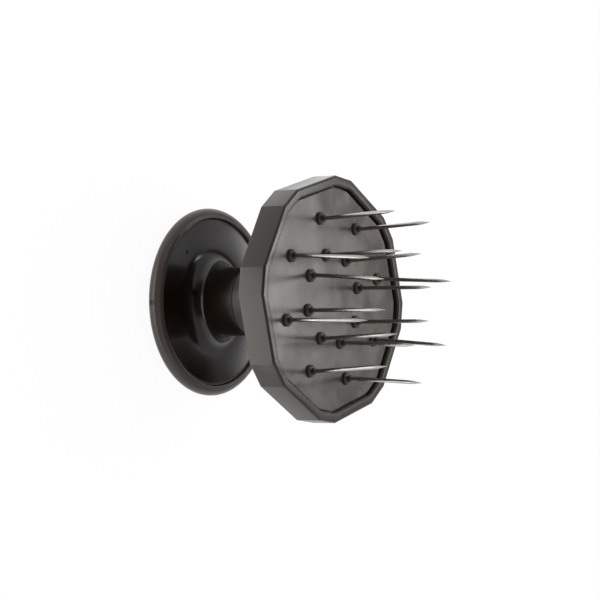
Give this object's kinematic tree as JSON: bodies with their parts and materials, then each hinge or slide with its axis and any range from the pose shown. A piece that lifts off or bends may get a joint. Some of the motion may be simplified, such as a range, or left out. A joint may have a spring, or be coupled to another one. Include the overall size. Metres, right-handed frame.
{
  "type": "needle meat tenderizer",
  "caption": "Hand needle meat tenderizer: round palm knob on a short neck and a clipped-octagon head whose recessed plate carries rings of pointed steel needles in stepped collars.",
  "frame": {"origin": "centre of the flat land on the palm face, where the tool stands needles up", "axes": "+Z along the neck from palm to needle tips; the long sides of the head face 22.5 degrees from +X and every 45 degrees on, each in line with a needle of both rings"},
  "size_m": [0.0746, 0.0746, 0.0797],
  "materials": {
    "knob_plastic": "warm black moulded plastic, glossy",
    "head_plastic": "warm black moulded plastic, semi-gloss",
    "plate_plastic": "warm black moulded plastic, fine satin",
    "collar_plastic": "black moulded plastic, glossy",
    "needle_steel": "polished stainless steel, ground points",
    "inner_steel": "zinc plated steel"
  },
  "bodies": {
    "root": {"palm_cap": "knob_plastic", "finger_flange": "knob_plastic", "head_shell": "head_plastic", "needle_plate": "plate_plastic", "backing_plate": "inner_steel", "centre_screw": "inner_steel", "screw_washer": "inner_steel", "needle_outer_1": "needle_steel", "ferrule_outer_1": "collar_plastic", "needle_outer_2": "needle_steel", "ferrule_outer_2": "collar_plastic", "needle_outer_3": "needle_steel", "ferrule_outer_3": "collar_plastic", "needle_outer_4": "needle_steel", "ferrule_outer_4": "collar_plastic", "needle_outer_5": "needle_steel", "ferrule_outer_5": "collar_plastic", "needle_outer_6": "needle_steel", "ferrule_outer_6": "collar_plastic", "needle_outer_7": "needle_steel", "ferrule_outer_7": "collar_plastic", "needle_outer_8": "needle_steel", "ferrule_outer_8": "collar_plastic", "needle_inner_1": "needle_steel", "ferrule_inner_1": "collar_plastic", "needle_inner_2": "needle_steel", "ferrule_inner_2": "collar_plastic", "needle_inner_3": "needle_steel", "ferrule_inner_3": "collar_plastic", "needle_inner_4": "needle_steel", "ferrule_inner_4": "collar_plastic", "needle_inner_5": "needle_steel", "ferrule_inner_5": "collar_plastic", "needle_inner_6": "needle_steel", "ferrule_inner_6": "collar_plastic", "needle_inner_7": "needle_steel", "ferrule_inner_7": "collar_plastic", "needle_inner_8": "needle_steel", "ferrule_inner_8": "collar_plastic"}
  },
  "joints": []
}
